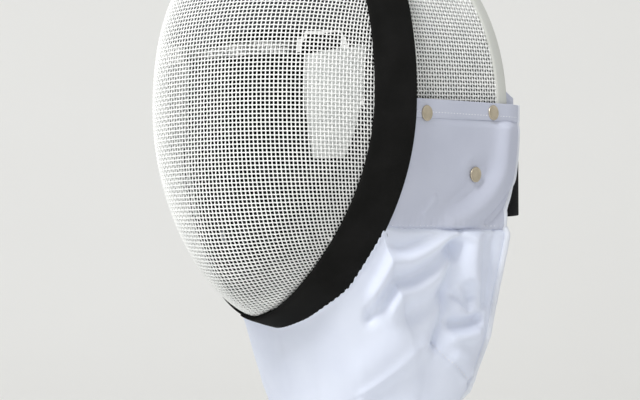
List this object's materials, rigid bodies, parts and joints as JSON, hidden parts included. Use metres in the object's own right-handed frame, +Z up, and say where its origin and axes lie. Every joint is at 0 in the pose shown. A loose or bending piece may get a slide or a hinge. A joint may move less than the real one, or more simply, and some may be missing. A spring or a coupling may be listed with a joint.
{
  "type": "fencing mask",
  "caption": "Fencing mask with a woven wire face bowl and crown, dark trim, white cloth side panels and bib, padded lining and an elastic head strap.",
  "frame": {"origin": "inner face of the crown lining on the middle line, where the mask sits on top of the head", "axes": "+Z up, -Y the way the mask faces, +X to the wearer's left"},
  "size_m": [0.2299, 0.3002, 0.4571],
  "materials": {
    "wire": "woven steel wire with a pale satin coat",
    "trim": "smooth dark coated tape",
    "tape": "pale grey smooth tape",
    "cloth": "white woven cloth, cool tint",
    "lining": "dark soft lining over foam",
    "pad": "pale cloth over foam",
    "nickel": "satin nickel with a warm tint",
    "elastic": "dark ribbed elastic"
  },
  "bodies": {
    "root": {"front_mesh": "wire", "side_mesh": "wire", "front_trim": "trim", "back_rim": "tape", "bib": "cloth", "bib_piping": "cloth", "side_panel_left": "cloth", "side_panel_right": "cloth", "cap_left_front": "nickel", "cap_left_rear": "nickel", "cap_left_low": "nickel", "cap_right_front": "nickel", "cap_right_rear": "nickel", "cap_right_low": "nickel", "crown_lining": "lining", "brow_lining": "lining", "side_lining_left": "lining", "side_lining_right": "lining", "chin_lining": "lining", "back_tongue": "lining", "cheek_pad_left": "pad", "cheek_pad_right": "pad", "back_strap": "elastic"}
  },
  "joints": []
}
